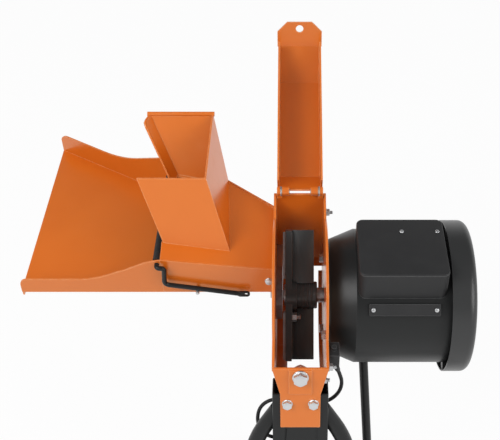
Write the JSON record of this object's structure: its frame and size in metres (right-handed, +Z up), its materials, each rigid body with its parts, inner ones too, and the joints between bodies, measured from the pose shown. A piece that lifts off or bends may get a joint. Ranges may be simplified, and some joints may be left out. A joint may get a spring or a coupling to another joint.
{
  "type": "electric garden shredder",
  "caption": "Electric garden shredder on a wheeled tube stand: open knife-and-paddle rotor chamber with a swung-back cover, side loading tray, mulch hood and flange motor.",
  "frame": {"origin": "on the floor, under the middle of the column foot, on the bottom face of the front cross tube", "axes": "+X along the rotor shaft from the loading tray to the motor fan, +Y to the back, +Z up"},
  "size_m": [0.759, 0.7795, 0.862],
  "materials": {
    "orange_paint": "gloss",
    "black_paint": "satin",
    "zinc_steel": "zinc plated",
    "tool_steel": "ground",
    "core_iron": "laminated",
    "winding_copper": "varnished wire",
    "capacitor_can": "drawn can",
    "black_plastic": "satin",
    "wheel_plastic": "moulded",
    "rubber": "matte",
    "tyre_rubber": "matte"
  },
  "bodies": {
    "frame": {"left_side_plate": "orange_paint", "right_side_plate": "orange_paint", "back_wall": "orange_paint", "neck_plate": "orange_paint", "latch_bolt": "zinc_steel", "chamber_bolts": "zinc_steel", "bed_knife": "tool_steel", "hinge_pins": "zinc_steel", "end_bell": "black_paint", "motor_barrel": "black_paint", "stator_core": "core_iron", "stator_windings": "winding_copper", "front_bearing": "tool_steel", "rear_bearing": "tool_steel", "rear_shield": "black_paint", "fan_cowl": "black_paint", "flange_bolts": "zinc_steel", "terminal_box": "black_plastic", "box_lid": "black_plastic", "box_screws": "zinc_steel", "start_capacitor": "capacitor_can", "box_strip": "black_plastic", "feed_throat": "orange_paint", "loading_tray": "orange_paint", "mulch_hood": "orange_paint", "throat_bolts": "zinc_steel", "cover_switch": "black_plastic", "switch_gland": "black_plastic", "switch_cable": "rubber", "cable_grommet": "rubber", "stand_column": "black_paint", "neck_bolts": "zinc_steel", "front_cross_tube": "black_paint", "rear_cross_tube": "black_paint", "cross_tube_caps": "black_plastic", "left_brace": "black_paint", "right_brace": "black_paint", "left_rail": "black_paint", "right_rail": "black_paint", "motor_leg": "black_paint", "wheel_brackets": "black_paint", "wheel_axles": "zinc_steel", "axle_caps": "black_plastic"},
    "cover": {"top_cover": "orange_paint"},
    "rotor": {"rotor_arm": "black_paint", "rotor_hub": "black_paint", "rotor_paddles": "black_paint", "chipping_knives": "tool_steel", "knife_bolts": "zinc_steel", "shaft_end_bolt": "zinc_steel", "motor_shaft": "tool_steel", "rotor_core": "core_iron", "cooling_fan": "black_plastic"},
    "flap": {"flap_lever": "black_paint", "rubber_flap": "rubber"},
    "wheel_left": {"left_rim": "wheel_plastic", "left_tyre": "tyre_rubber"},
    "wheel_right": {"right_rim": "wheel_plastic", "right_tyre": "tyre_rubber"}
  },
  "joints": [
    {"name": "rotor_spin", "type": "hinge", "parent": "frame", "child": "rotor", "pos_m": [0, 0.29217, 0.6], "axis": [1, 0, 0], "continuous": true},
    {"name": "cover_hinge", "type": "hinge", "parent": "frame", "child": "cover", "pos_m": [0, 0.40817, 0.719], "axis": [1, 0, 0], "range_deg": [0, 170]},
    {"name": "flap_swing", "type": "hinge", "parent": "frame", "child": "flap", "pos_m": [-0.221, 0.39217, 0.674], "axis": [0, -1, 0], "range_deg": [0, 55]},
    {"name": "wheel_left_spin", "type": "hinge", "parent": "frame", "child": "wheel_left", "pos_m": [-0.23, 0, 0.092], "axis": [1, 0, 0], "continuous": true},
    {"name": "wheel_right_spin", "type": "hinge", "parent": "frame", "child": "wheel_right", "pos_m": [0.29, 0, 0.092], "axis": [1, 0, 0], "continuous": true}
  ]
}
